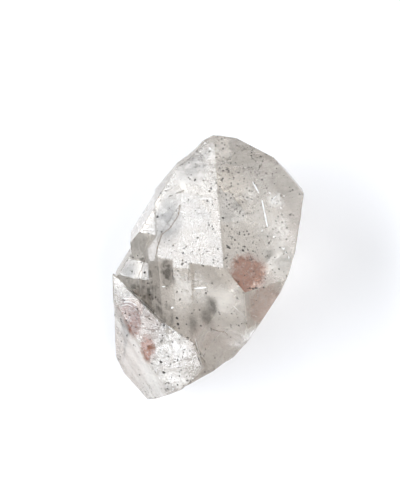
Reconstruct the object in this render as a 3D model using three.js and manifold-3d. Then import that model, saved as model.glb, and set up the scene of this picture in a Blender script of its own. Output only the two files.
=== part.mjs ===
// A quartz crystal, broken from its rock: a main crystal with a six-faced point, parallel
// crystals stepped down its left side, and a smaller crystal across its lower left.
// They grew together, so they are one solid. It rests on the flat cut of its root.
//
// Millimetres, +Z up. The root is the plane z = 0, and the origin is on it. The crystal's
// long axis points along +Y and rises from the root.
import * as THREE from 'three';
import { ConvexGeometry } from 'three/addons/geometries/ConvexGeometry.js';
import { mergeVertices } from 'three/addons/utils/BufferGeometryUtils.js';
import Module from 'manifold-3d';

const wasm = await Module();
wasm.setup();

// Quartz: prism faces stand 60 degrees apart round the long axis, and the normals of the
// end faces stand 51.8 degrees from it
const PRISM_STEP = 60;
const FROM_AXIS = { Prism: 90, End: 51.79 };
const DIRECTIONS = ['front', 'right', 'farRight', 'back', 'farLeft', 'left'];

// The long axis rises 23 degrees from the root, and the crystal is turned about it so
// that its front prism face looks up and to the left
const AXIS_RISE = 23;
const AXIS_TURN = -29.5;

// The point that every face distance is measured from, 20 mm above the root
const CENTRE = new THREE.Vector3(2, 12, 20);

// How far the crystals first run on past the root, before it is cut
const RUN_ON = 48;
const ROOT_CUT_SIZE = 200;

// Distances of the main crystal's faces. An end face has the name of the prism face
// under it.
const MAIN = {
  frontPrism: 19.5,
  rightPrism: 29.6,
  farRightPrism: 31.4,
  backPrism: 20,
  farLeftPrism: 24,
  leftPrism: 15,
  frontEnd: 18.3,
  rightEnd: 21.9,
  farRightEnd: 34.9,
  backEnd: 29.9,
  farLeftEnd: 23.9,
  leftEnd: 22.9,
};

// The parallel crystals differ from the main one in these faces. On their far side they
// stay buried in it.
const BURIED = { rightPrism: 12, rightEnd: 14 };
const BAND = { ...BURIED, leftPrism: 18.1, leftEnd: 17.9, frontPrism: 19.2 };
const MIDDLE_STEP = {
  ...BURIED, frontEnd: 17.5, frontPrism: 14.4, leftPrism: 23.5, leftEnd: 22.1, farLeftPrism: 17,
};
const OUTER_STEP = {
  ...BURIED, frontEnd: 11.2, frontPrism: 17.7, leftPrism: 31, leftEnd: 19.5, farLeftPrism: 16,
};
const BACK_LAYER = { backPrism: 21.3, backEnd: 27.2, farRightPrism: 19, farLeftPrism: 21.5 };
const SECOND_BACK_LAYER = {
  ...BURIED, backPrism: 22.2, backEnd: 20, farRightPrism: 8, farLeftPrism: 24.8,
};

// A slab on the front prism face leans away from it by this angle, so that it thins
// towards the root
const SLAB = { lean: 4.6, distance: 20.5, left: 10.7, right: -5.4, farLeft: 20 };

// The left part of the front end face leans back by this angle, below a seam with a bend
const SEAM = { lean: 3.2, distance: 17.8, bendY: 4 };
const UPPER_SEAM = { compass: -35.8, above: 0, distance: -14.4 };
const LOWER_SEAM = { compass: -9.6, above: 0, distance: -15.2 };
const SEAM_ENDS = { left: 30, front: 30, top: 30, bottom: 12, overlap: 3 };

// Surfaces that are no face of the main crystal, by the compass angle that they look in,
// from +X towards +Y, and the angle above the horizontal. The smaller crystal has two
// faces, a bent ridge towards the main crystal, and a broken end.
const SMALL_CRYSTAL = {
  upperFace: { compass: -155.4, above: 63.4, distance: 16.9 },
  outerFace: { compass: -155.1, above: 45.5, distance: 24.7 },
  innerSide: { compass: 19.2, above: 0, distance: -14.9 },
  brokenEnd: { compass: -46, above: -2, distance: 23.2 },
  underside: { compass: 110, above: -50, distance: 12 },
};
const UPPER_RIDGE = { compass: 41.7, above: 0, distance: -25.6 };
const LOWER_RIDGE = { compass: 53.4, above: 0, distance: -26 };

// The outline that the breaks leave, from the right shoulder clockwise, then the breaks
// that lean in towards the root, and last two chips at the tip
const BREAKS = [
  { compass: -15, above: -1, distance: 26.3 },
  { compass: -26, above: -2, distance: 24.7 },
  { compass: -37.5, above: -2, distance: 24.8 },
  { compass: -49.8, above: 25.5, distance: 32.4 },
  { compass: -58.5, above: -2, distance: 31.2 },
  { compass: -68.7, above: -2, distance: 35.8 },
  { compass: -139.8, above: -2, distance: 46.7 },
  { compass: -158.2, above: -2, distance: 41.2 },
  { compass: 175.5, above: -2, distance: 28.8 },
];
const BREAKS_BELOW = [
  { compass: -18, above: -34, distance: 26.4 },
  { compass: -40, above: -30, distance: 24.2 },
  { compass: -61, above: -27, distance: 30.4 },
  { compass: -148, above: -38, distance: 42.6 },
  { compass: 168, above: -42, distance: 26.6 },
];
const TIP_CHIPS = [
  { compass: 81.1, above: -3.5, distance: 34.9 },
  { compass: 110.6, above: 50.7, distance: 27.5 },
];
const BEYOND = 70;

// Conchoidal bites: balls that reach in to a point, from a direction
const BALL_SEGMENTS = 96;
const SCOOP = { x: 1.5, y: -17.8, z: 29.8, compass: -100, above: 62, radius: 18 };
const TIP_BITE = { x: -1.5, y: 40.5, z: 29.5, compass: 130, above: 20, radius: 22 };
const LOWER_BITES = [
  { x: 27.6, y: 10, z: 19, compass: -20, above: -12, radius: 42 },
  { x: 21.9, y: -1, z: 19, compass: -32, above: -12, radius: 44 },
  { x: 10.6, y: -16, z: 18, compass: -50, above: -14, radius: 42 },
  { x: -11, y: -31, z: 14, compass: -84, above: -12, radius: 26 },
  { x: -25.2, y: -23, z: 7, compass: -152, above: -30, radius: 32 },
];

const radians = THREE.MathUtils.degToRad;
const rise = radians(AXIS_RISE);
const axis = new THREE.Vector3(0, Math.cos(rise), Math.sin(rise));
const overAxis = new THREE.Vector3(0, -Math.sin(rise), Math.cos(rise));

function plane(normal, distance) {
  return new THREE.Plane(normal, -distance);
}

// A crystal face by its name, such as frontPrism. A lean tips its normal from the axis.
function face(name, distance, lean = 0) {
  const kind = name.endsWith('End') ? 'End' : 'Prism';
  const turn = DIRECTIONS.indexOf(name.slice(0, -kind.length)) * PRISM_STEP + AXIS_TURN;
  const fromAxis = radians(FROM_AXIS[kind] + lean);
  const normal = overAxis.clone().applyAxisAngle(axis, radians(turn));
  normal.multiplyScalar(Math.sin(fromAxis)).addScaledVector(axis, Math.cos(fromAxis));
  return plane(normal, distance);
}

function direction(compass, above) {
  const level = Math.cos(radians(above));
  const x = level * Math.cos(radians(compass));
  const y = level * Math.sin(radians(compass));
  return new THREE.Vector3(x, y, Math.sin(radians(above)));
}

function wall({ compass, above, distance }) {
  return plane(direction(compass, above), distance);
}

// The wall across a crystal, past its root
function foot() {
  return plane(axis.clone().negate(), RUN_ON);
}

// An upright wall far outside the crystal, or level with above at 90 or -90
function far(compass, above = 0, distance = BEYOND) {
  return wall({ compass, above, distance });
}

// The corner where three planes meet, or null where two of them are parallel
function meeting(p, q, r) {
  const volume = p.normal.dot(q.normal.clone().cross(r.normal));
  if (Math.abs(volume) < 1e-4) return null;
  return q.normal.clone().cross(r.normal).multiplyScalar(-p.constant)
    .addScaledVector(r.normal.clone().cross(p.normal), -q.constant)
    .addScaledVector(p.normal.clone().cross(q.normal), -r.constant)
    .divideScalar(volume);
}

function toManifold(geometry) {
  geometry.deleteAttribute('normal');
  geometry.deleteAttribute('uv');
  const merged = mergeVertices(geometry, 1e-4);
  return new wasm.Manifold(new wasm.Mesh({
    numProp: 3,
    vertProperties: new Float32Array(merged.attributes.position.array),
    triVerts: new Uint32Array(merged.index.array),
  }));
}

// The convex solid behind a set of faces
function behind(faces) {
  const corners = [];
  for (let i = 0; i < faces.length; i += 1) {
    for (let j = i + 1; j < faces.length; j += 1) {
      for (let k = j + 1; k < faces.length; k += 1) {
        const corner = meeting(faces[i], faces[j], faces[k]);
        const inside = corner && faces.every((p) => p.distanceToPoint(corner) < 1e-6);
        if (inside) corners.push(corner);
      }
    }
  }
  const geometry = new ConvexGeometry(corners);
  geometry.translate(CENTRE.x, CENTRE.y, CENTRE.z);
  return toManifold(geometry);
}

function joined(solids) {
  return solids.reduce((whole, piece) => whole.add(piece));
}

function cutBy(solid, cutters) {
  return cutters.reduce((left, cutter) => left.subtract(cutter), solid);
}

// A crystal parallel to the main one, with some of its faces moved
function crystal(moved = {}) {
  const faces = Object.entries({ ...MAIN, ...moved }).map(([name, d]) => face(name, d));
  return behind([...faces, foot()]);
}

function frontSlab() {
  return behind([
    face('frontPrism', SLAB.distance, SLAB.lean),
    face('backPrism', 0),
    face('leftPrism', SLAB.left),
    face('farRightPrism', SLAB.right),
    face('frontEnd', MAIN.frontEnd),
    face('leftEnd', MAIN.leftEnd),
    face('farLeftPrism', SLAB.farLeft),
    foot(),
  ]);
}

// The wedge that is missing over the left part of the front end face. Its two parts
// overlap at the bend.
function seam() {
  const lower = face('frontEnd', SEAM.distance, SEAM.lean);
  const over = [
    plane(lower.normal.negate(), -SEAM.distance),
    far(0, 90, SEAM_ENDS.top),
    far(180, 0, SEAM_ENDS.left),
  ];
  return joined([
    behind([...over, wall(UPPER_SEAM), far(90, 0, SEAM_ENDS.front), far(-90, 0, -SEAM_ENDS.overlap)]),
    behind([...over, wall(LOWER_SEAM), far(90, 0, SEAM.bendY), far(-90, 0, SEAM_ENDS.bottom)]),
  ]);
}

function smallCrystal() {
  const sides = Object.values(SMALL_CRYSTAL).map(wall);
  const ends = [far(0, -90, CENTRE.z + 1), far(135), far(180), far(-100)];
  return joined([UPPER_RIDGE, LOWER_RIDGE].map((ridge) => behind([wall(ridge), ...sides, ...ends])));
}

function brokenOutline() {
  const ends = [far(0, 90), far(0, -90), far(135), far(45)];
  return behind([...[...BREAKS, ...BREAKS_BELOW, ...TIP_CHIPS].map(wall), ...ends]);
}

function bite({ x, y, z, compass, above, radius }) {
  const ball = new THREE.SphereGeometry(radius, BALL_SEGMENTS, BALL_SEGMENTS / 2);
  const middle = new THREE.Vector3(x, y, z).addScaledVector(direction(compass, above), radius);
  ball.translate(middle.x, middle.y, middle.z);
  return toManifold(ball);
}

function rootCut() {
  const below = new THREE.BoxGeometry(ROOT_CUT_SIZE, ROOT_CUT_SIZE, ROOT_CUT_SIZE);
  below.translate(0, 0, -ROOT_CUT_SIZE / 2);
  return toManifold(below);
}

const layers = [BAND, MIDDLE_STEP, OUTER_STEP, BACK_LAYER, SECOND_BACK_LAYER].map(crystal);
const grown = cutBy(joined([crystal(), ...layers, frontSlab()]), [seam()]);
const front = cutBy(grown, [bite(SCOOP), bite(TIP_BITE)]);
const whole = front.add(smallCrystal()).intersect(brokenOutline());
const solid = cutBy(whole, [...LOWER_BITES.map(bite), rootCut()]);

const cut = solid.getMesh();
const geometry = new THREE.BufferGeometry();
geometry.setAttribute('position', new THREE.BufferAttribute(cut.vertProperties, 3));
geometry.setIndex(new THREE.BufferAttribute(cut.triVerts, 1));

const quartz = new THREE.Mesh(geometry, new THREE.MeshStandardMaterial({
  color: 0xdad7d3,
  roughness: 0.15,
  metalness: 0,
}));
quartz.name = 'quartz';

const part = new THREE.Group();
part.add(quartz);
export default part;
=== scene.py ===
import math
import random

import bmesh
import bpy
from bpy.props import FloatProperty, FloatVectorProperty, IntProperty, PointerProperty
from mathutils import Matrix, Vector, noise
from mathutils.bvhtree import BVHTree


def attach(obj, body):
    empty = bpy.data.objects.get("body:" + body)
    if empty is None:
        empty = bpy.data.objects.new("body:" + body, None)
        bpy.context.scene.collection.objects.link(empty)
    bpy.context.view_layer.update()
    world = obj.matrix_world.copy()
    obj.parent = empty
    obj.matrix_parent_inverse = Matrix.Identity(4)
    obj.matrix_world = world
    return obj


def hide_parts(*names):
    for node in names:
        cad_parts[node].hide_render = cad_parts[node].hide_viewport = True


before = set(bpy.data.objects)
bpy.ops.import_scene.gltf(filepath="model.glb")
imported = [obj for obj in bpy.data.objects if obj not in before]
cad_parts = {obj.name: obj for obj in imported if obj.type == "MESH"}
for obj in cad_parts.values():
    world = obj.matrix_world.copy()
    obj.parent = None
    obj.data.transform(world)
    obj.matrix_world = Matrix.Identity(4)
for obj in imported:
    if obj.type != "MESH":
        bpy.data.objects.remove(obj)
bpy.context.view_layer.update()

bl_info = {
    "name": "Quartz Crystal",
    "version": (1, 0, 0),
    "blender": (4, 5, 0),
    "location": "View3D > Sidebar > Quartz",
    "description": "A broken quartz crystal with mineral grains, veils and pale cracks",
    "category": "Add Mesh",
}

NODE = "quartz"
MM = 0.001

# How far the crystal's long axis rises from the root, and how far the smaller crystal's
# streaks run to the left of it
AXIS_RISE = math.radians(23)
SLANT = math.radians(27)

# Outward directions of the faces that carry their own finish and painted shade. The front
# end face's left part leans back a little, below the growth seam.
FRONT_END = Vector((-0.387, 0.302, 0.871))
LEANING_END = Vector((-0.403, 0.250, 0.880))
LEFT_END = Vector((-0.786, 0.567, 0.247))
RIGHT_END = Vector((0.398, 0.306, 0.865))
FRONT_PRISM = Vector((-0.493, -0.339, 0.801))
RIGHT_PRISM = Vector((0.507, -0.336, 0.794))
SMALL_UPPER = Vector((-0.407, -0.186, 0.894))
SMALL_OUTER = Vector((-0.636, -0.295, 0.713))

# All growth faces: those above, and the ones on the sides and behind
GROWTH_FACES = (
    FRONT_END, LEANING_END, LEFT_END, RIGHT_END, FRONT_PRISM, RIGHT_PRISM, SMALL_UPPER,
    SMALL_OUTER, Vector((1, 0, 0)), Vector((-1, 0, 0)), -FRONT_PRISM, -RIGHT_PRISM,
    Vector((0.786, 0.572, 0.235)), Vector((0.388, 0.836, -0.388)),
    Vector((-0.398, 0.834, -0.383)),
)
# The faces that take the brown layer: rust on the smaller crystal, and on the right end face
# the painted colour of skin seen through the quartz
RUST_AND_SKIN_FACES = (RIGHT_END, SMALL_UPPER, SMALL_OUTER)

# Cosines of the angles within which a face counts as one of these: about 3 degrees for a
# growth face, and 2.5 for one with a finish, whose distance must agree within millimetres
GROWTH_MATCH = 0.9985
FINISH_MATCH = 0.999
DISTANCE_MATCH = 0.12

# Faces with a finish of their own: the direction, the distance from the origin in
# millimetres, how far etching has frosted the face, and how much painted shade darkens it,
# for the dark that the face shows by the way it lies to the light and by what is seen
# through it
FACE_FINISH_AND_PAINTED_SHADE = (
    (FRONT_END, 38.58, 0.22, 0.08),
    (LEANING_END, 37.60, 0.12, 0.42),
    (RIGHT_END, 43.65, 0.09, 0.0),
    (FRONT_END, 37.78, 0.20, 0.06),
    (LEFT_END, 32.29, 0.45, 0.0),
    (FRONT_END, 31.48, 0.08, 0.42),
    (FRONT_PRISM, 25.36, 0.05, 0.66),
    (FRONT_PRISM, 28.66, 0.0, 0.66),
    (FRONT_PRISM, 30.16, 0.0, 0.7),
    (SMALL_UPPER, 31.73, 0.14, 0.08),
    (SMALL_OUTER, 34.15, 0.40, 0.0),
)

# Painted shade, as soft patches: the middle and the reach in millimetres, and the strength.
# The patches paint the dark that is seen through and reflected in the clear quartz. The
# streaky ones break up into streaks along the crystal, and the soft ones are cloudy.
STREAKY_PAINTED_SHADE = (
    ((-15.2, 5.0, 30), (2.6, 6.8, 7), 1.1), ((-10.3, 6.2, 34), (2.3, 5.2, 7), 1.1),
    ((-20.6, 0.6, 24), (4.6, 3.0, 4), 1.0), ((-16.0, -2.4, 25), (6.0, 6.2, 6), 0.95),
    ((-12.6, -7.0, 27), (4.4, 6.0, 5), 0.75),
)
SOFT_PAINTED_SHADE = (
    ((2.3, -4.6, 37.5), (3.0, 4.6, 5), 0.9), ((0.9, -8.4, 35.2), (2.9, 4.8, 5), 0.85),
    ((-3.6, -10.4, 31.5), (2.4, 5.4, 5), 0.7), ((12.0, 24.8, 36), (3.4, 2.0, 4), 0.5),
    ((9.4, 22.0, 38.5), (2.2, 3.2, 4), 0.45), ((-9.2, 21.6, 32.5), (7.4, 13, 7), 0.95),
    ((-0.5, 38.0, 31), (9.5, 8.5, 7), 0.7), ((1.5, 23.2, 37), (6.5, 1.9, 5), 0.35),
    ((-21.8, -9.2, 23), (3.6, 6.4, 6), 0.4), ((-18.2, -17.0, 23), (2.8, 5.6, 6), 0.6),
    ((-19.6, 1.1, 24), (2.0, 2.6, 3), 1.0), ((25.5, 7.5, 36), (5.5, 6.0, 9), 0.7),
    ((-24.0, -3.5, 23), (5, 4.5, 6), 0.7), ((21.6, 8.6, 37.5), (4.2, 4.0, 5), 0.7),
    ((13.0, 38.0, 31), (12, 9, 9), 0.3),
    ((-22.8, 7.6, 23.5), (3.4, 3.6, 4), 0.8), ((-15.0, -12.0, 26), (5.5, 5.5, 5), 0.55),
)

# Hazy parts are crumbly white veils. The first, in the middle of the front end face, is a
# painted highlight, and its crumbs paint glints. Foggy parts scatter the light evenly and
# so hide the reflections on the faces behind.
HAZE_AND_PAINTED_HIGHLIGHT = (
    ((1.0, 15.5, 39), (8.5, 8.0, 9), 0.3), ((1.5, 27.6, 35), (8, 1.5, 6), 0.35),
    ((16.0, 27.6, 33), (3.6, 4.2, 7), 0.5), ((25.2, 16.5, 34), (6.0, 7.5, 9), 0.5),
    ((24.0, 26.2, 30.5), (4.6, 3.8, 5), 0.75), ((10.6, 19.6, 38), (3.4, 3.2, 5), 0.35),
    ((-3.0, 1.5, 37), (8.5, 7.5, 9), 0.4), ((-8.5, -18.0, 27), (9.5, 7.5, 9), 0.5),
    ((13.2, -14.1, 38), (3.5, 3.5, 5), 0.8), ((9.4, -16.8, 33), (4.6, 2.6, 6), 0.35),
    ((4.5, 41.5, 31), (5.5, 4.0, 5), 0.4),
    ((-11.0, -27.5, 25), (10.5, 6.5, 9), 0.45), ((-6.8, 4.8, 37), (2.8, 5.5, 6), 0.5),
    ((-8.6, 26.2, 31.5), (6.5, 4.2, 6), 0.12), ((-25.6, 4.2, 24.5), (3.2, 3.0, 4), 0.7),
)
FOGGY_PARTS = (
    ((6.5, -2.4, 39), (9.0, 7.5, 8), 0.65), ((8.5, 42.0, 31), (7.0, 6.5, 6), 0.5),
    ((14.0, 34.0, 33), (13.0, 9.0, 8), 0.4), ((-7.0, -2.0, 34), (6.0, 8.0, 8), 0.4),
    ((17.5, -5.0, 38), (6.0, 9.0, 9), 0.4), ((24.0, 7.5, 36), (7.5, 8.0, 9), 0.9),
    ((20.0, 22.0, 34), (11.0, 9.0, 9), 0.35), ((-9.0, 24.0, 32), (8.0, 7.0, 7), 0.45),
    ((-11.0, -27.0, 25), (11.0, 7.5, 9), 0.35), ((-22.0, -20.0, 18), (8.0, 14.0, 10), 0.2),
    ((-1.0, 37.0, 31), (9.0, 9.5, 8), 0.6),
)

# The brown layer. On the smaller crystal it is rust, and on the right end face it paints the
# skin colour seen through the clear quartz; both lie on their own faces and end at their
# edges. The fainter patches paint a reflection of skin in the prism faces, and run on past
# the edges.
RUST_AND_PAINTED_SKIN = (
    ((14.6, 4.6, 42), (7.6, 8.0, 9), 1.22), ((12.4, 7.2, 42.5), (5.0, 4.6, 8), 1.2),
    ((12.0, 2.4, 43.5), (5.9, 6.5, 8), 1.35), ((-21.8, -8.6, 23), (3.9, 7.4, 6), 1.1),
    ((-18.3, -17.0, 23.5), (3.3, 6.4, 6), 1.25), ((-25.0, -20.0, 16), (10, 17, 12), 0.2),
    ((-18.0, -10.0, 24), (9, 8, 8), 0.4), ((-22.6, -5.4, 23), (6.5, 6.5, 6), 0.75),
)
PAINTED_SKIN_REFLECTION = (
    ((1.5, -14.5, 33), (11, 6.5, 9), 0.2), ((18.2, -5.0, 39), (8, 9, 9), 0.6),
)

# How gently each kind of patch fades, from 0 for a hard edge to 1
STREAKY_FADE, SOFT_FADE, HAZE_AND_HIGHLIGHT_FADE, FOGGY_FADE = 0.35, 0.75, 0.8, 0.9
RUST_AND_SKIN_FADE, SKIN_REFLECTION_FADE = 0.65, 0.45

# Quartz bends light a little more than window glass does, and absorbs hardly any: the colour
# that is left, and the density per metre
QUARTZ_IOR = 1.544
ABSORBED, ABSORPTION = "#DAD4CA", 4.0

# The shares of the light that go through the clearest and the cloudiest quartz
CLEAREST, CLOUDIEST = 0.96, 0.1

# How strongly fine clouding, the painted shade on the faces and the haze with its painted
# highlight tint the quartz, and how much of the haze is left where the brown layer or the
# painted shade lies
CLOUDING, PAINTED_FACE_SHADE_STRENGTH, WHITENING, HAZE_AND_HIGHLIGHT_LEFT = 0.5, 0.58, 0.9, 0.1

# The plain solid's triangles are joined within this many millimetres and merged where they
# meet at less than this angle. Once the edges are worn, any shorter than the last length
# are dropped.
JOINED, FLAT, SHORTEST = 0.002, math.radians(0.4), 0.01

# The root is the flat face that lies within this many millimetres of the ground
ROOT_HEIGHT = 0.05

# Edges are worn that are sharper than this and longer than this many millimetres
SHARP_EDGE = math.radians(14)
WORN_EDGE = 0.8

# The bites are made of facets smaller than this, in square millimetres, and are smoothed
# this many times
BITE_FACET = 9
BITE_ROUNDS = 8

# The broken surfaces' waves: their sizes in millimetres and heights against the largest
WAVES = ((9, 1), (3.5, 0.35), (1.4, 0.1))

# The rough face's lumps: their size in millimetres and middle height. They fade to the
# left and the lower end, from the first place to the second.
LUMP_SIZE, LUMP_MIDDLE = 1.9, 0.6
LUMPS_LEFT, LUMPS_LOWER = (-22, -15), (-23, -17)
FAINTEST_LUMPS = 0.25

# Every surface swells and sinks by this many millimetres
SWELL = 0.04

# Edges with at least this angle stay sharp in the shading
SHADED_SHARP = math.radians(38)


def linear(hex_colour, alpha=1.0):
    """An sRGB hex colour as linear values."""
    parts = (int(hex_colour[i:i + 2], 16) / 255 for i in (1, 3, 5))
    rgb = (c / 12.92 if c <= 0.04045 else ((c + 0.055) / 1.055) ** 2.4 for c in parts)
    return (*rgb, alpha)


def colour(name, hex_colour, description):
    return FloatVectorProperty(
        name=name, description=description, subtype="COLOR", size=4, min=0, max=1,
        default=linear(hex_colour))


def length(name, mm, description):
    return FloatProperty(
        name=name, description=description, default=mm * MM, min=0, unit="LENGTH", precision=5)


class QuartzStoneSettings(bpy.types.PropertyGroup):
    mesh_edge: length("Mesh edge", 0.9, "Longest edge of the refined crystal")
    edge_round: length("Edge round", 0.1, "How far the sharp edges are cut back")
    break_relief: length("Break relief", 0.35, "Height of the waves on the broken surfaces")
    rough_relief: length("Rough relief", 0.12, "Height of the lumps on the rough upper face")
    body: colour("Quartz", "#F9F4EC", "Colour of the clear quartz")
    smoke_and_painted_shade: colour("Smoke", "#DDD0C3", "Colour of the faintly smoky parts")
    white: colour("White", "#FFFFFF", "Colour of the whitest parts")
    # The stain colour, which also paints the skin colour seen through and reflected in the
    # quartz
    stain_and_painted_skin: colour("Stain", "#8F5A42", "Colour of the faint iron stains")
    # The painted shade's colour, for the clear parts that look dark
    shade: colour("Painted shade", "#64615B", "Colour of the clear parts that look dark")


class QuartzGrainSettings(bpy.types.PropertyGroup):
    count: IntProperty(
        name="Count", description="Number of scattered grains", default=1300, min=0)
    smallest: length("Smallest", 0.23, "Smallest grain across")
    largest: length("Largest", 0.62, "Largest scattered grain across")
    seed: IntProperty(name="Seed", description="Start of the random draws", default=11)
    mineral: colour("Mineral", "#1F1B19", "Colour of the dark mineral grains")


class QuartzVeilSettings(bpy.types.PropertyGroup):
    seed: IntProperty(name="Seed", description="Start of the random draws", default=23)
    # Painted glints: small bright flecks on the rough upper face
    painted_glints: IntProperty(
        name="Flecks", description="Number of small bright flecks", default=100, min=0)
    seam: colour("Seam", "#6A5E52", "Colour of the stained seams")
    # The white of the cracks also paints the glints and the highlight along the ridge
    crack_and_painted_highlight: colour("Crack", "#FFFFFF", "Colour of the bright cracks and needles")


class QuartzStageSettings(bpy.types.PropertyGroup):
    floor: colour("Floor", "#F6F6F8", "Colour of the plain floor")
    camera_height: length("Camera height", 380, "Height of the camera above the floor")
    camera_turn: FloatProperty(
        name="Camera turn", description="Turn of the camera about its line of sight",
        default=math.radians(-3.89), subtype="ANGLE")


def material(name):
    """An empty node material and its tree."""
    made = bpy.data.materials.new(name)
    made.use_nodes = True
    made.node_tree.nodes.clear()
    return made, made.node_tree


def add(tree, kind, inputs=(), out=0, **settings):
    """Adds a node and gives one of its outputs. Its inputs, in order or by name or number,
    are values or the outputs of other nodes."""
    node = tree.nodes.new(kind)
    for key, value in settings.items():
        setattr(node, key, value)
    for key, value in inputs.items() if isinstance(inputs, dict) else enumerate(inputs):
        if isinstance(value, bpy.types.NodeSocket):
            tree.links.new(value, node.inputs[key])
        else:
            node.inputs[key].default_value = value
    return node.outputs[out] if node.outputs else None


def millimetres(tree, turn=(0, 0, 0), stretch=(1, 1, 1)):
    """The place on the object in millimetres, turned and then stretched."""
    place = add(tree, "ShaderNodeTexCoord", out="Object")
    turned = add(tree, "ShaderNodeMapping", {"Vector": place, "Rotation": turn})
    scale = tuple(s / MM for s in stretch)
    return add(tree, "ShaderNodeVectorMath", (turned, scale), operation="MULTIPLY")


def pattern(tree, place, size, detail=3.0, roughness=0.5, low=0.4, high=0.6, to_low=0.0,
            to_high=1.0):
    """Noise of a size in millimetres, spread from low and high to two values."""
    made = add(tree, "ShaderNodeTexNoise", {
        "Vector": place, "Scale": 1 / size, "Detail": detail, "Roughness": roughness})
    return add(tree, "ShaderNodeMapRange", (made, low, high, to_low, to_high),
               interpolation_type="SMOOTHSTEP")


def astray(tree, start, place, size, reach, roughness):
    """A start moved about by noise of a size and a reach in millimetres, taken at a place."""
    away = add(tree, "ShaderNodeTexNoise", {
        "Vector": place, "Scale": 1 / size, "Detail": 3.0, "Roughness": roughness}, out="Color")
    away = add(tree, "ShaderNodeVectorMath", (away, (0.5, 0.5, 0.5)), operation="SUBTRACT")
    away = add(tree, "ShaderNodeVectorMath", {0: away, "Scale": reach}, operation="SCALE")
    return add(tree, "ShaderNodeVectorMath", (start, away), operation="ADD")


def patches(tree, place, parts, fade):
    """The strongest of several soft patches at each place. Each is an ellipsoid that fades
    to 0 at its surface."""
    strongest = None
    for centre, radii, strength in parts:
        away = add(tree, "ShaderNodeVectorMath", (place, centre), operation="SUBTRACT")
        scaled = add(tree, "ShaderNodeVectorMath", (away, radii), operation="DIVIDE")
        size = add(tree, "ShaderNodeVectorMath", (scaled,), out="Value", operation="LENGTH")
        patch = add(tree, "ShaderNodeMapRange", (size, 1 - fade, 1.0, strength, 0.0),
                    interpolation_type="SMOOTHSTEP")
        if strongest is not None:
            patch = add(tree, "ShaderNodeMath", (strongest, patch), operation="MAXIMUM")
        strongest = patch
    return strongest


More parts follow.
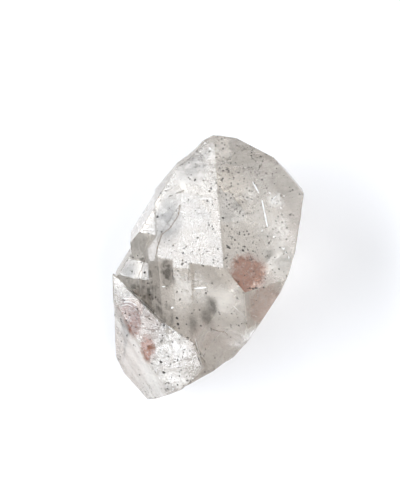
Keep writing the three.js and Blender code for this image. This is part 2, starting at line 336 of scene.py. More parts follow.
def quartz_material(s):
    """Quartz: clear, with faces that dissolving has left faintly frosted. It bends the light
    behind it and gives soft highlights. Veils of tiny bubbles and the frosting scatter a part
    of the light near the surface."""
    made, tree = material("quartz")

    # Places, and places drawn out along the crystal, across it and along the smaller one
    place = millimetres(tree)
    along = millimetres(tree, turn=(-AXIS_RISE, 0, 0), stretch=(1, 0.08, 1))
    across = millimetres(tree, turn=(-AXIS_RISE, 0, 0), stretch=(0.05, 1, 0.05))
    slanting = millimetres(tree, turn=(0, 0, -SLANT), stretch=(1, 0.16, 0.6))

    # How frosted each face is, how much painted shade darkens it, and whether it takes the
    # brown layer of rust and painted skin colour
    etched, painted_face_shade, rust_and_skin_mask = (
        add(tree, "ShaderNodeAttribute", out="Fac", attribute_name=name)
        for name in ("etched", "painted_face_shade", "rust_and_skin_mask"))

    # The patches have uneven outlines, and the brown ones' outlines are gritty too
    uneven = astray(tree, place, place, size=4.5, reach=3.5, roughness=0.6)
    gritty = astray(tree, uneven, place, size=0.8, reach=2.6, roughness=0.7)

    # The quartz's own unevenness: fine clouding, wide veils and growth lines
    fine = pattern(tree, place, 0.8, detail=5, roughness=0.75, low=0.36, high=0.66)
    veil = pattern(tree, place, 8, detail=4, roughness=0.6, low=0.45, high=0.72)
    growth = pattern(tree, across, 1.0, detail=4, roughness=0.75, low=0.42, high=0.7)

    # Painted shade, for the dark seen through and reflected in the clear quartz: streaked and
    # swirled patches, cloudy patches, and faces darkened by the way they lie to the light
    streaks = pattern(tree, along, 0.85, roughness=0.6, low=0.4, high=0.58, to_low=0.5)
    swirls = pattern(tree, uneven, 2.6, detail=4, roughness=0.65, low=0.38, high=0.58,
                     to_low=0.4, to_high=1.15)
    streaky_painted_shade = patches(tree, uneven, STREAKY_PAINTED_SHADE, STREAKY_FADE)
    streaky_painted_shade = add(tree, "ShaderNodeMath", (streaky_painted_shade, painted_face_shade), operation="MAXIMUM")
    for broken_up in (streaks, swirls):
        streaky_painted_shade = add(tree, "ShaderNodeMath", (streaky_painted_shade, broken_up), operation="MULTIPLY")
    cloudy = pattern(tree, place, 2.4, low=0.3, high=0.6, to_low=0.65)
    cloudy_painted_shade = patches(tree, uneven, SOFT_PAINTED_SHADE, SOFT_FADE)
    cloudy_painted_shade = add(tree, "ShaderNodeMath", (cloudy_painted_shade, cloudy), operation="MULTIPLY")
    smoke_and_painted_shade = add(tree, "ShaderNodeMath", (painted_face_shade, PAINTED_FACE_SHADE_STRENGTH), operation="MULTIPLY")
    dark = add(tree, "ShaderNodeMath", (streaky_painted_shade, cloudy_painted_shade), operation="MAXIMUM")
    dark = add(tree, "ShaderNodeMath", (dark, smoke_and_painted_shade), operation="MAXIMUM")

    # The brown layer, faintly speckled: rust, and the painted skin colour seen through the
    # right end face and reflected in the prism faces
    speckled = pattern(tree, place, 1.2, detail=5, roughness=0.7, low=0.35, high=0.6,
                       to_low=0.65, to_high=1.05)
    rust_and_painted_skin = patches(tree, gritty, RUST_AND_PAINTED_SKIN, RUST_AND_SKIN_FADE)
    rust_and_painted_skin = add(tree, "ShaderNodeMath", (rust_and_painted_skin, rust_and_skin_mask), operation="MULTIPLY")
    stain_and_painted_skin = patches(tree, gritty, PAINTED_SKIN_REFLECTION, SKIN_REFLECTION_FADE)
    stain_and_painted_skin = add(tree, "ShaderNodeMath", (stain_and_painted_skin, rust_and_painted_skin), operation="MAXIMUM")
    stain_and_painted_skin = add(tree, "ShaderNodeMath", (stain_and_painted_skin, speckled), operation="MULTIPLY")

    # Frosting, veils and the painted highlight, weaker where the crystal is stained, painted
    # with skin colour or painted dark
    crumbs_and_painted_glints = pattern(
        tree, place, 1.3, detail=5, roughness=0.7, low=0.35, high=0.62, to_low=0.15)
    frost = pattern(tree, slanting, 1.6, low=0.35, high=0.65, to_low=0.45)
    frosted = add(tree, "ShaderNodeMath", (etched, frost), operation="MULTIPLY")
    covered = add(tree, "ShaderNodeMath", (stain_and_painted_skin, cloudy_painted_shade), operation="MAXIMUM")
    bare = add(tree, "ShaderNodeMapRange", (covered, 0, 1, 1, HAZE_AND_HIGHLIGHT_LEFT),
               interpolation_type="SMOOTHSTEP")
    haze_and_painted_highlight = patches(tree, uneven, HAZE_AND_PAINTED_HIGHLIGHT, HAZE_AND_HIGHLIGHT_FADE)
    haze_and_painted_highlight = add(tree, "ShaderNodeMath", (haze_and_painted_highlight, crumbs_and_painted_glints), operation="MULTIPLY")
    haze_and_painted_highlight = add(tree, "ShaderNodeMath", (haze_and_painted_highlight, frosted), operation="MAXIMUM")
    haze_and_painted_highlight = add(tree, "ShaderNodeMath", (haze_and_painted_highlight, bare), operation="MULTIPLY")
    foggy = patches(tree, uneven, FOGGY_PARTS, FOGGY_FADE)

    # Each layer of colour lies over the ones before it: fine clouding, painted shade, white
    # haze with the painted highlight, and stains with the painted skin colour
    clouding = add(tree, "ShaderNodeMath", (fine, CLOUDING), operation="MULTIPLY")
    whitening = add(tree, "ShaderNodeMath", (haze_and_painted_highlight, WHITENING), operation="MULTIPLY")
    body = tuple(s.body)
    for factor, layer in ((clouding, s.smoke_and_painted_shade), (dark, s.shade), (whitening, s.white),
                          (stain_and_painted_skin, s.stain_and_painted_skin)):
        body = add(tree, "ShaderNodeMix", {0: factor, 6: body, 7: tuple(layer)}, out=2,
                   data_type="RGBA")

    # How much of the light scatters: the rest goes through
    scatter = 0.0
    for part, share in ((fine, 0.14), (veil, 0.06), (growth, 0.06), (haze_and_painted_highlight, 0.8), (stain_and_painted_skin, 0.4),
                        (foggy, 0.6)):
        scatter = add(tree, "ShaderNodeMath", (part, share, scatter), operation="MULTIPLY_ADD")
    clear = add(tree, "ShaderNodeMapRange", (scatter, 0, 1, CLEAREST, CLOUDIEST))

    # Low hillocks, growth lines across the long axis and fine etching
    hillocks = pattern(tree, place, 3.5, detail=2, low=0.35, high=0.65)
    etching = pattern(tree, place, 0.5, detail=2, low=0.2, high=0.8)
    bump = add(tree, "ShaderNodeBump", {
        "Height": hillocks, "Strength": 0.12, "Distance": 0.12 * MM})
    bump = add(tree, "ShaderNodeBump", {
        "Height": growth, "Normal": bump, "Strength": 0.2, "Distance": 0.06 * MM})
    bump = add(tree, "ShaderNodeBump", {
        "Height": etching, "Normal": bump, "Strength": 0.15, "Distance": 0.03 * MM})

    rough = pattern(tree, place, 6, detail=4, low=0.3, high=0.7, to_low=0.05, to_high=0.13)
    shader = add(tree, "ShaderNodeBsdfPrincipled", {
        "Base Color": body, "Roughness": rough, "IOR": QUARTZ_IOR, "Transmission Weight": clear,
        "Normal": bump})
    absorb = add(tree, "ShaderNodeVolumeAbsorption", {
        "Color": linear(ABSORBED), "Density": ABSORPTION})
    add(tree, "ShaderNodeOutputMaterial", {"Surface": shader, "Volume": absorb})
    return made


def mottled_material(name, one, other, size, low, high, roughness):
    """An opaque material that changes between two colours in patches of a size in
    millimetres."""
    made, tree = material(name)
    tone = pattern(tree, millimetres(tree), size, low=low, high=high)
    skin = add(tree, "ShaderNodeMix", {0: tone, 6: one, 7: other}, out=2, data_type="RGBA")
    shader = add(tree, "ShaderNodeBsdfPrincipled", {"Base Color": skin, "Roughness": roughness})
    add(tree, "ShaderNodeOutputMaterial", {"Surface": shader})
    return made


def finished(bm, name, skin, smooth=True):
    """Turns a bmesh into a piece of the object that rides on the root body."""
    mesh = bpy.data.meshes.new(name)
    bm.to_mesh(mesh)
    bm.free()
    for polygon in mesh.polygons:
        polygon.use_smooth = smooth
    mesh.materials.append(skin)
    piece = bpy.data.objects.new(name, mesh)
    bpy.context.scene.collection.objects.link(piece)
    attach(piece, "root")
    return piece


def refine(bm, longest, rounds=7):
    """Halves the edges that are longer than a length, a few times over."""
    for _ in range(rounds):
        long_edges = [e for e in bm.edges if e.calc_length() > longest]
        bmesh.ops.subdivide_edges(bm, edges=long_edges, cuts=1)
        bmesh.ops.triangulate(bm, faces=[f for f in bm.faces if len(f.verts) > 3])


def rise(value, start, end):
    """How far a value has come from a start to an end, from 0 to 1."""
    return max(0, min(1, (value - start) / (end - start)))


def stone_mesh(s):
    """The crystal with worn edges and relief on its broken and rough surfaces."""
    bm = bmesh.new()
    bm.from_mesh(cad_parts[NODE].data)
    bmesh.ops.remove_doubles(bm, verts=bm.verts, dist=JOINED * MM)
    bmesh.ops.dissolve_limit(bm, angle_limit=FLAT, verts=bm.verts, edges=bm.edges)
    bm.normal_update()

    # What each face is, its finish and painted shade, and whether it takes the brown layer
    kind = bm.faces.layers.int.new("kind")
    etched, painted_face_shade, rust_and_skin_mask = (
        bm.faces.layers.float.new(name) for name in ("etched", "painted_face_shade", "rust_and_skin_mask"))
    root, growth, rough, hollow, broken = range(5)
    for face in bm.faces:
        face[rust_and_skin_mask] = float(any(face.normal.dot(side) > FINISH_MATCH for side in RUST_AND_SKIN_FACES))
        away = face.normal.dot(face.calc_center_median()) / MM
        for direction, distance, frost, shade in FACE_FINISH_AND_PAINTED_SHADE:
            near = abs(away - distance) < DISTANCE_MATCH
            if near and face.normal.dot(direction) > FINISH_MATCH:
                face[etched], face[painted_face_shade] = frost, shade
        low = face.calc_center_median().z < ROOT_HEIGHT * MM
        if low and face.normal.z < -FINISH_MATCH:
            face[kind] = root
        elif face.normal.dot(SMALL_UPPER) > GROWTH_MATCH:
            face[kind] = rough
        elif any(face.normal.dot(side) > GROWTH_MATCH for side in GROWTH_FACES):
            face[kind] = growth
        else:
            face[kind] = hollow if face.calc_area() < BITE_FACET * MM * MM else broken

    # The sharp edges are worn a little
    worn = [e for e in bm.edges
            if e.calc_length() > WORN_EDGE * MM and e.calc_face_angle(0) > SHARP_EDGE
            and all(f[kind] in (growth, rough, broken) for f in e.link_faces)]
    bmesh.ops.bevel(
        bm, geom=worn, offset=s.edge_round, offset_type="OFFSET", segments=2, profile=0.5,
        affect="EDGES", clamp_overlap=False, material=-1)
    bmesh.ops.triangulate(bm, faces=bm.faces)
    bmesh.ops.dissolve_degenerate(bm, dist=SHORTEST * MM, edges=bm.edges)
    bmesh.ops.delete(bm, geom=[v for v in bm.verts if not v.link_faces], context="VERTS")
    refine(bm, s.mesh_edge)
    bm.normal_update()

    # The bites are made of flat facets, so they are smoothed, inside their edges
    inner = [v for v in bm.verts if all(f[kind] == hollow for f in v.link_faces)]
    for _ in range(BITE_ROUNDS):
        bmesh.ops.smooth_vert(
            bm, verts=inner, factor=0.5, use_axis_x=True, use_axis_y=True, use_axis_z=True)
    bm.normal_update()

    # Waves on what is broken, lumps on the rough face, and none on the root
    moves = []
    for v in bm.verts:
        kinds = [f[kind] for f in v.link_faces]
        if root in kinds:
            moves.append(0)
            continue
        p = v.co / MM
        wave = sum(height * noise.noise(p / size) for size, height in WAVES)
        lump = noise.turbulence(p / LUMP_SIZE, 4, False) - LUMP_MIDDLE
        swell = noise.noise(p / WAVES[0][0])
        chipped = sum(k in (hollow, broken) for k in kinds) / len(kinds)
        lumpy = sum(k == rough for k in kinds) / len(kinds)
        shown = rise(p.x, *LUMPS_LEFT) * rise(p.y, *LUMPS_LOWER)
        lumpy *= FAINTEST_LUMPS + (1 - FAINTEST_LUMPS) * shown
        moves.append(chipped * s.break_relief * wave + lumpy * s.rough_relief * lump
                     + SWELL * MM * swell)
    for v, move in zip(bm.verts, moves):
        v.co += v.normal * move
    bmesh.ops.recalc_face_normals(bm, faces=bm.faces)
    return bm


class OBJECT_OT_quartz_crystal(bpy.types.Operator):
    """Make the crystal, in place of the plain solid"""
    bl_idname = "object.quartz_crystal"
    bl_label = "Crystal"

    def execute(self, context):
        s = context.scene.quartz_stone
        piece = finished(stone_mesh(s), "crystal", quartz_material(s))
        piece.data.set_sharp_from_angle(angle=SHADED_SHARP)
        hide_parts(NODE)
        return {"FINISHED"}


def surface():
    """The crystal's mesh, and a tree for casting places onto it."""
    if "crystal" not in bpy.data.objects:
        raise RuntimeError("make the crystal first")
    mesh = bpy.data.objects["crystal"].data
    sides = [p.vertices for p in mesh.polygons]
    return mesh, BVHTree.FromPolygons([v.co for v in mesh.vertices], sides)


def under(tree, x, y, depth):
    """A point under the surface at a place seen from above, in millimetres, and the
    surface's direction there."""
    hit, normal, _, _ = tree.ray_cast(Vector((x, y, 100)) * MM, Vector((0, 0, -1)))
    if hit is None:
        raise RuntimeError(f"nothing of the crystal is under {x}, {y}")
    return hit - normal * depth * MM, normal


# Grains that the eye picks out, at places seen from above: x, y, length, width and
# compass turn, in millimetres and degrees
SEEN_GRAINS = (
    (9.0, 44.6, 0.55, 0.45, 0), (13.6, 43.5, 0.5, 0.4, 0), (9.1, 42.7, 0.5, 0.4, 20),
    (7.5, 41.1, 0.4, 0.4, 0), (7.6, 38.9, 0.4, 0.35, 0), (14.9, 36.3, 0.5, 0.4, 0),
    (17.2, 35.0, 0.5, 0.4, 40), (19.1, 34.1, 0.5, 0.4, 0), (21.9, 34.5, 0.45, 0.35, 0),
    (20.5, 32.5, 0.5, 0.45, 0), (8.3, 33.4, 0.6, 0.5, 30), (8.0, 32.9, 0.6, 0.5, 0),
    (10.8, 31.9, 0.5, 0.4, 0), (12.9, 31.5, 0.5, 0.4, 0), (10.4, 30.7, 0.55, 0.4, 0),
    (-0.1, 33.7, 0.7, 0.6, 0), (4.6, 30.8, 0.45, 0.4, 0), (18.8, 27.2, 0.5, 0.4, 0),
    (7.5, 21.4, 0.75, 0.6, 30), (24.5, 20.9, 0.5, 0.45, 0), (25.8, 21.3, 0.5, 0.4, 0),
    (23.7, 19.5, 0.45, 0.4, 0), (25.6, 19.1, 0.5, 0.45, 0), (28.3, 21.2, 0.5, 0.45, 0),
    (4.3, 18.3, 0.55, 0.45, 0), (14.5, 17.0, 0.55, 0.4, 0), (24.3, 16.1, 0.5, 0.4, 0),
    (10.6, 14.6, 0.6, 0.5, 0), (8.4, 12.6, 0.95, 0.45, 75), (12.8, 11.3, 0.75, 0.65, 0),
    (14.3, 11.3, 0.5, 0.45, 0), (15.8, 10.9, 0.5, 0.45, 0), (20.9, 13.0, 0.55, 0.5, 0),
    (32.0, 27.5, 0.5, 0.4, 0), (-4.1, 13.5, 0.5, 0.45, 0), (-5.1, 11.7, 0.6, 0.5, 0),
    (-12.3, 23.3, 0.75, 0.6, 0), (-17.6, 6.5, 0.75, 0.65, 0), (-8.0, 14.1, 0.55, 0.4, 0),
    (7.5, 9.4, 0.95, 0.4, 80), (0.9, -0.7, 0.65, 0.55, 0), (-7.8, 0.1, 0.9, 0.35, -60),
    (-7.1, -2.3, 0.9, 0.35, -80), (-8.5, -8.1, 0.85, 0.75, 0), (-8.3, -10.0, 0.85, 0.75, 0),
    (4.7, -7.3, 0.5, 0.45, 0), (-14.5, -21.7, 0.85, 0.75, 0), (-13.8, -25.1, 1.1, 0.6, 55),
    (2.4, -21.2, 0.5, 0.4, 0), (-26.3, -7.7, 0.6, 0.5, 0), (-12.7, -10.3, 0.7, 0.6, 0),
    (-10.0, -12.4, 0.55, 0.5, 0), (-12.1, -20.0, 0.5, 0.45, 0), (-7.6, -20.3, 0.5, 0.45, 0),
    (-5.2, -18.5, 0.5, 0.45, 0), (-12.5, -28.5, 0.5, 0.45, 0), (15.9, 0.0, 0.9, 0.5, 50),
    (14.0, 0.1, 0.6, 0.5, 0), (23.3, 5.0, 0.55, 0.45, 0), (10.0, -2.6, 0.55, 0.5, 0),
    (10.1, -11.0, 0.5, 0.4, 0),
)

# They are made this much larger, because their edges lie under the surface
SEEN_GROWTH = 1.15

# Grains lie this many millimetres under the surface. This share of the scattered ones lies
# deeper, by up to the second length.
GRAIN_DEPTH, DEEPER = 0.02, 0.3
DEEP_SHARE = 0.25

# A grain's thickness against its middle width, how unevenly its corners stand out and how
# much longer than wide a scattered one is at most
GRAIN_FLATNESS, GRAIN_CORNERS, GRAIN_STRETCH = 0.35, (0.82, 1.1), 1.3

# No scattered grain lies lower than this many millimetres
LOWEST_GRAIN = 1

# The higher this is, the fewer of the scattered grains are large
SMALL_BIAS = 2.2

# How closely a part of the surface must follow a face to count as its own, for the grains
# and for the painted glints
GRAIN_MATCH, GLINT_MATCH = 0.99, 0.995

# How many grains the faces carry, against the most, and then how many the other surfaces
# that look up and those that look sideways or down
FACE_GRAINS = (
    (FRONT_END, 0.6), (FRONT_PRISM, 0.3), (RIGHT_PRISM, 0.06), (SMALL_UPPER, 0.75),
    (SMALL_OUTER, 0.25),
)
SIDE_GRAINS, LOWER_GRAINS = 0.3, 0.03


def add_grain(bm, draw, centre, normal, across, wide, turn=0.0, facets=1):
    """Adds one uneven grain, flattened along the surface's direction."""
    lie = normal.to_track_quat("Z", "Y").to_matrix().to_4x4()
    sizes = Matrix.Diagonal((across / 2, wide / 2, GRAIN_FLATNESS * (across + wide) / 2, 1))
    where = Matrix.Translation(centre) @ lie @ Matrix.Rotation(turn, 4, "Z") @ sizes
    made = bmesh.ops.create_icosphere(bm, subdivisions=facets, radius=1, matrix=where)["verts"]
    for v in made:
        v.co = centre + (v.co - centre) * draw.uniform(*GRAIN_CORNERS)


def grain_share(normal, place):
    """How many grains a surface carries, against the most. They thin out to both sides of
    the end faces and are densest near the right one's top."""
    x, y = place.x / MM, place.y / MM
    if normal.dot(FRONT_END) > GRAIN_MATCH and x < -3:
        return 0.3
    if normal.dot(RIGHT_END) > GRAIN_MATCH:
        return 0.4 if x > 22.5 else 1.25 if y > 22 else 0.9
    for face, share in FACE_GRAINS:
        if normal.dot(face) > GRAIN_MATCH:
            return share
    return SIDE_GRAINS if normal.z > 0.5 else LOWER_GRAINS


def painted_glint_share(normal, place):
    """How many painted glints a surface carries, against the most. They thin out to the left
    and the lower end."""
    if normal.dot(SMALL_UPPER) < GLINT_MATCH:
        return 0.0
    return 0.1 if place.x < -16 * MM else 0.3 if place.y < -22 * MM else 1.0


class OBJECT_OT_quartz_grains(bpy.types.Operator):
    """Scatter the dark mineral grains under the crystal's surface"""
    bl_idname = "object.quartz_grains"
    bl_label = "Mineral grains"

    def execute(self, context):
        s = context.scene.quartz_grain
        draw = random.Random(s.seed)
        mesh, tree = surface()
        bm = bmesh.new()
        for x, y, across, wide, turn in SEEN_GRAINS:
            centre, normal = under(tree, x, y, GRAIN_DEPTH)
            add_grain(bm, draw, centre, normal, SEEN_GROWTH * across * MM,
                      SEEN_GROWTH * wide * MM, math.radians(turn), 2)
        sides = [p for p in mesh.polygons if p.center.z > LOWEST_GRAIN * MM]
        weights = [p.area * grain_share(p.normal, p.center) for p in sides]
        for side in draw.choices(sides, weights, k=s.count):
            size = s.smallest + (s.largest - s.smallest) * draw.random() ** SMALL_BIAS
            deeper = max(0, draw.random() - 1 + DEEP_SHARE) / DEEP_SHARE
            depth = (GRAIN_DEPTH + DEEPER * deeper) * MM
            add_grain(bm, draw, side.center - side.normal * depth, side.normal,
                      size * draw.uniform(1, GRAIN_STRETCH), size, draw.uniform(0, math.pi))

        # Grains of a dark mica-like mineral: nearly black, with a dull skin that shows only
        # a faint gleam
        skin = mottled_material("dark mineral", tuple(s.mineral), linear("#37302B"), size=1.2,
                                low=0.35, high=0.65, roughness=0.5)
        finished(bm, "dark_grains", skin, smooth=False)
        return {"FINISHED"}


# The bright needle under the right end face, and its dots: places seen from above
NEEDLE = (
    ((17.6, 32.0), (19.1, 28.5)), ((19.9, 26.3), (20.3, 22.8)), ((20.3, 22.8), (20.9, 17.9)),
)
NEEDLE_WIDTH = 0.5

# Small bright cracks and chips: x and y of both ends, seen from above, and the width
CRACKS = (
    (-2.6, 0.85, 1.2, 1.0, 0.38), (-12.4, 1.9, -11.2, 1.9, 0.3),
    (-10.1, -4.9, -9.3, -4.7, 0.55), (19.0, 16.6, 19.3, 17.2, 0.4),
    (22.4, 14.5, 22.8, 15.0, 0.35), (25.1, 10.7, 25.6, 11.2, 0.4),
    (23.2, 26.2, 24.6, 27.4, 0.3), (22.3, 28.6, 22.8, 28.0, 0.25),
    (25.4, 23.9, 25.9, 23.2, 0.25), (26.6, 27.0, 27.3, 27.4, 0.25),
    (22.6, 25.4, 23.3, 25.0, 0.25), (24.2, 25.6, 24.5, 24.9, 0.2),
    (-17.2, 21.8, -12.9, 21.2, 0.26), (-17.5, 20.0, -13.3, 19.4, 0.24),
    (14.9, -12.1, 13.2, -14.1, 0.5), (13.4, -13.9, 11.4, -16.0, 0.6),
    (15.2, -10.8, 14.7, -12.6, 0.35), (4.9, 43.4, 5.5, 42.6, 0.3),
    (3.4, 44.5, 3.9, 45.2, 0.25), (8.4, -4.5, 12.3, -8.9, 0.16),
    (10.6, -6.6, 12.9, -9.0, 0.12), (24.7, 11.5, 25.1, 10.9, 0.3),
    (25.6, 10.1, 26.1, 9.4, 0.3), (26.6, 8.7, 26.7, 7.8, 0.35),
    (-25.7, -2.2, -22.5, -2.4, 0.25), (-22.5, -2.4, -20.7, -3.7, 0.25),
    (-26.2, -3.5, -23.6, -3.1, 0.22), (-23.6, -3.1, -21.7, -4.3, 0.22),
    (-25.3, -1.0, -22.8, -1.4, 0.2),
)

# The painted highlight along the ridge over the smaller crystal, seen from above: a white
# line for the light that the ridge's edge catches
PAINTED_RIDGE_HIGHLIGHT = ((-25.2, 4.0), (-19.8, -1.7), (-13.8, -7.9), (-7.9, -14.0))

# The pale rim at the left of the shallow hollow under the front prism face
RIM = ((-3.3, -14.6), (-2.9, -17.1), (-2.2, -19.7), (-0.7, -21.7))
PAINTED_RIDGE_HIGHLIGHT_WIDTH, RIM_WIDTH = 0.2, 0.16

# Growth seams and cracks that iron has stained, seen from above, and their widths
STAINED_LINES = (
    (((-5.1, 26.4), (-5.5, 24.6), (-5.9, 23.1), (-7.3, 21.3), (-8.6, 19.6), (-11.2, 17.9),
      (-11.9, 16.2), (-12.6, 14.4), (-13.6, 11.1)), 0.44),
    (((-3.6, 7.2), (-3.8, 5.2), (-4.2, 3.0)), 0.3),
    (((1.9, -11.7), (3.8, -12.6), (5.9, -13.0), (6.7, -14.0)), 0.4),
    (((0.1, 13.2), (-0.4, 11.6), (0.1, 10.2), (-0.2, 8.7)), 0.2),
    (((-17.3, 21.4), (-15.0, 21.1), (-12.9, 20.8)), 0.13),
    (((-17.5, 19.6), (-15.4, 19.3), (-13.3, 19.0)), 0.12),
    (((-16.8, 11.6), (-18.4, 7.9), (-20.1, 4.6)), 0.2),
)

# A line is made of slivers about this long, in millimetres. Then a sliver's half thickness
# against its width, how far it overruns its ends, and how far its corners stray against its
# width.
SLIVER = 1.2
SLIVER_FLATNESS, SLIVER_OVERRUN, SLIVER_CORNERS = 0.2, 1.05, 0.12

# The cracks lie this many millimetres under the surface
CRACK_DEPTH = 0.02

# The painted glints' sizes in millimetres, and how much longer than wide one is at most
PAINTED_GLINT_SIZES, PAINTED_GLINT_STRETCH = (0.12, 0.4), 2


def add_sliver(bm, draw, start, end, wide):
    """Adds a thin uneven sliver, flat on the surface between two (point, direction) places
    and pointed at both ends."""
    line = end[0] - start[0]
    along = line.normalized()
    out = (start[1] + end[1]).normalized()
    side = along.cross(out).normalized()
    lie = Matrix((side, side.cross(along), along)).transposed().to_4x4()
    sizes = Matrix.Diagonal(
        (wide / 2, SLIVER_FLATNESS * wide, line.length / 2 * SLIVER_OVERRUN, 1))
    where = Matrix.Translation((start[0] + end[0]) / 2) @ lie @ sizes
    made = bmesh.ops.create_uvsphere(
        bm, u_segments=8, v_segments=10, radius=1, matrix=where)["verts"]
    for v in made:
        v.co += Vector(draw.uniform(-SLIVER_CORNERS, SLIVER_CORNERS) * wide for _ in range(3))


def add_line(bm, draw, tree, points, wide):
    """Adds a chain of slivers along the surface, through points seen from above."""
    for start, end in zip(points, points[1:]):
        steps = max(1, round(math.dist(start, end) / SLIVER))
        for i in range(steps):
            ends = [[a + (b - a) * part for a, b in zip(start, end)]
                    for part in (i / steps, (i + 1) / steps)]
            places = [under(tree, *place, 0.0) for place in ends]
            add_sliver(bm, draw, *places, wide * draw.uniform(0.7, 1.2) * MM)


class OBJECT_OT_quartz_seams(bpy.types.Operator):
    """Make the stained growth seam and the stained cracks"""
    bl_idname = "object.quartz_seams"
    bl_label = "Stained seams"

    def execute(self, context):
        s = context.scene.quartz_veil
        draw = random.Random(s.seed)
        _, tree = surface()
        bm = bmesh.new()
        for points, wide in STAINED_LINES:
            add_line(bm, draw, tree, points, wide)

        # Iron oxide in a growth seam: a matt grey-brown film
        skin = mottled_material("iron-stained seam", tuple(s.seam), linear("#93877A"), size=1.5,
                                low=0.3, high=0.7, roughness=0.7)
        finished(bm, "stained_seams", skin, smooth=False)
        return {"FINISHED"}


class OBJECT_OT_quartz_cracks(bpy.types.Operator):
    """Make the bright needle, the cracks, the rim, the painted ridge highlight and painted
    glints
    """
    bl_idname = "object.quartz_cracks"
    bl_label = "Needle and cracks"

    def execute(self, context):
        s = context.scene.quartz_veil
        draw = random.Random(s.seed)
        mesh, tree = surface()
        bm = bmesh.new()
        for start, end in NEEDLE:
            ends = [under(tree, *place, 0.0) for place in (start, end)]
            add_sliver(bm, draw, *ends, NEEDLE_WIDTH * MM)
        for x0, y0, x1, y1, wide in CRACKS:
            ends = [under(tree, *place, CRACK_DEPTH) for place in ((x0, y0), (x1, y1))]
            add_sliver(bm, draw, *ends, wide * MM)
        # A painted highlight along the ridge
        add_line(bm, draw, tree, PAINTED_RIDGE_HIGHLIGHT, PAINTED_RIDGE_HIGHLIGHT_WIDTH)
        add_line(bm, draw, tree, RIM, RIM_WIDTH)
        # Painted glints on the rough upper face
        weights = [p.area * painted_glint_share(p.normal, p.center) for p in mesh.polygons]
        for side in draw.choices(mesh.polygons, weights, k=s.painted_glints):
            size = draw.uniform(*PAINTED_GLINT_SIZES) * MM
            add_grain(bm, draw, side.center, side.normal, size * draw.uniform(1, PAINTED_GLINT_STRETCH),
                      size, draw.uniform(0, math.pi))

        # Air in a crack or a hollow needle: it throws back all the light, so it is bright white
        # and glossy. The same white paints the glints and the highlight along the ridge.
        skin = mottled_material("air in cracks and painted highlights", tuple(s.crack_and_painted_highlight), linear("#E8EAEC"), size=0.8,
                                low=0.3, high=0.7, roughness=0.25)
        finished(bm, "bright_cracks_and_painted_highlights", skin, smooth=False)
        return {"FINISHED"}


# The softboxes: name, place, size in metres, watts and tint. All look at the stone.
SOFTBOXES = (
    ("left softbox", (-0.66, 0.09, 0.48), (1.0, 0.34), 8, "#F5F9FF"),
    ("right softbox", (0.744, 0.30, 0.409), (0.48, 0.35), 1.35, "#FFFFFF"),
    ("fill softbox", (0.5, -0.4, 0.8), (0.7, 0.7), 4.6, "#FFFFFF"),
)
STONE_MIDDLE = (0, 0, 0.02)

# The studio's even light, and how far the floor reaches to each side in metres
STUDIO, STUDIO_STRENGTH = "#E6E9EC", 0.6
FLOOR_REACH = 14

# The camera stands over this y in millimetres. Its focal length in pixels, at the
# picture's height in pixels, gives the lens.
CAMERA_Y = 12
FOCAL_PIXELS, PICTURE_HEIGHT, SENSOR = 1140, 502, 36


def area_light(name, place, size, watts, tint):
    data = bpy.data.lights.new(name, "AREA")
    data.shape = "RECTANGLE"
    data.size, data.size_y = size
    data.energy = watts
    data.color = linear(tint)[:3]
    light = bpy.data.objects.new(name, data)
    light.location = place
    light.rotation_mode = "QUATERNION"
    towards = Vector(STONE_MIDDLE) - Vector(place)
    light.rotation_quaternion = towards.to_track_quat("-Z", "Y")
    bpy.context.scene.collection.objects.link(light)


def floor_material(s):
    """A sheet of matt white board: even and bright, with no gleam."""
    made, tree = material("white board")
    shader = add(tree, "ShaderNodeBsdfPrincipled", {
        "Base Color": tuple(s.floor), "Roughness": 0.9, "Specular IOR Level": 0.1})
    add(tree, "ShaderNodeOutputMaterial", {"Surface": shader})
    return made


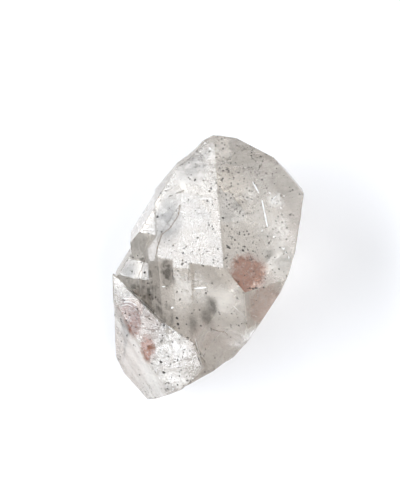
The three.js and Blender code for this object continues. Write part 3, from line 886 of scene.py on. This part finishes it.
class OBJECT_OT_quartz_stage(bpy.types.Operator):
    """Make the floor, the lights, the world and the camera"""
    bl_idname = "object.quartz_stage"
    bl_label = "Stage"

    def execute(self, context):
        s = context.scene.quartz_stage
        scene = context.scene
        bm = bmesh.new()
        bmesh.ops.create_grid(bm, x_segments=1, y_segments=1, size=FLOOR_REACH)
        mesh = bpy.data.meshes.new("floor")
        bm.to_mesh(mesh)
        bm.free()
        mesh.materials.append(floor_material(s))
        floor = bpy.data.objects.new("floor", mesh)
        scene.collection.objects.link(floor)

        for softbox in SOFTBOXES:
            area_light(*softbox)

        world = bpy.data.worlds.new("studio")
        world.use_nodes = True
        studio = world.node_tree.nodes["Background"]
        studio.inputs["Color"].default_value = linear(STUDIO)
        studio.inputs["Strength"].default_value = STUDIO_STRENGTH
        scene.world = world

        camera = bpy.data.cameras.new("camera")
        camera.lens = SENSOR * FOCAL_PIXELS / PICTURE_HEIGHT
        camera.clip_start, camera.clip_end = 0.01, 20
        holder = bpy.data.objects.new("camera", camera)
        holder.location = (0, CAMERA_Y * MM, s.camera_height)
        holder.rotation_euler = (0, 0, s.camera_turn)
        scene.collection.objects.link(holder)
        scene.camera = holder
        scene.view_settings.view_transform = "Standard"
        scene.view_settings.look = "None"

        # Light passes many faces on its way through the crystal
        scene.cycles.max_bounces = 24
        scene.cycles.transmission_bounces = 16
        scene.cycles.transparent_max_bounces = 16
        scene.cycles.sample_clamp_indirect = 4
        return {"FINISHED"}


class VIEW3D_PT_quartz(bpy.types.Panel):
    """Lists the steps that make the crystal, and their settings"""
    bl_label = "Quartz"
    bl_idname = "VIEW3D_PT_quartz"
    bl_space_type = "VIEW_3D"
    bl_region_type = "UI"
    bl_category = "Quartz"

    def draw(self, context):
        for step in STEPS:
            self.layout.operator(step.bl_idname)
        for group in SETTINGS:
            box = self.layout.box()
            holder = getattr(context.scene, group)
            for name in holder.__annotations__:
                box.prop(holder, name)


SETTINGS = {
    "quartz_stone": QuartzStoneSettings,
    "quartz_grain": QuartzGrainSettings,
    "quartz_veil": QuartzVeilSettings,
    "quartz_stage": QuartzStageSettings,
}
STEPS = (
    OBJECT_OT_quartz_crystal,
    OBJECT_OT_quartz_grains,
    OBJECT_OT_quartz_seams,
    OBJECT_OT_quartz_cracks,
    OBJECT_OT_quartz_stage,
)


def register():
    for made in (*SETTINGS.values(), *STEPS, VIEW3D_PT_quartz):
        bpy.utils.register_class(made)
    for name, group in SETTINGS.items():
        setattr(bpy.types.Scene, name, PointerProperty(type=group))


def unregister():
    for name in SETTINGS:
        delattr(bpy.types.Scene, name)
    for made in reversed((*SETTINGS.values(), *STEPS, VIEW3D_PT_quartz)):
        bpy.utils.unregister_class(made)


def main():
    register()
    bpy.ops.object.quartz_crystal()
    bpy.ops.object.quartz_grains()
    bpy.ops.object.quartz_seams()
    bpy.ops.object.quartz_cracks()
    bpy.ops.object.quartz_stage()


if __name__ == "__main__":
    main()
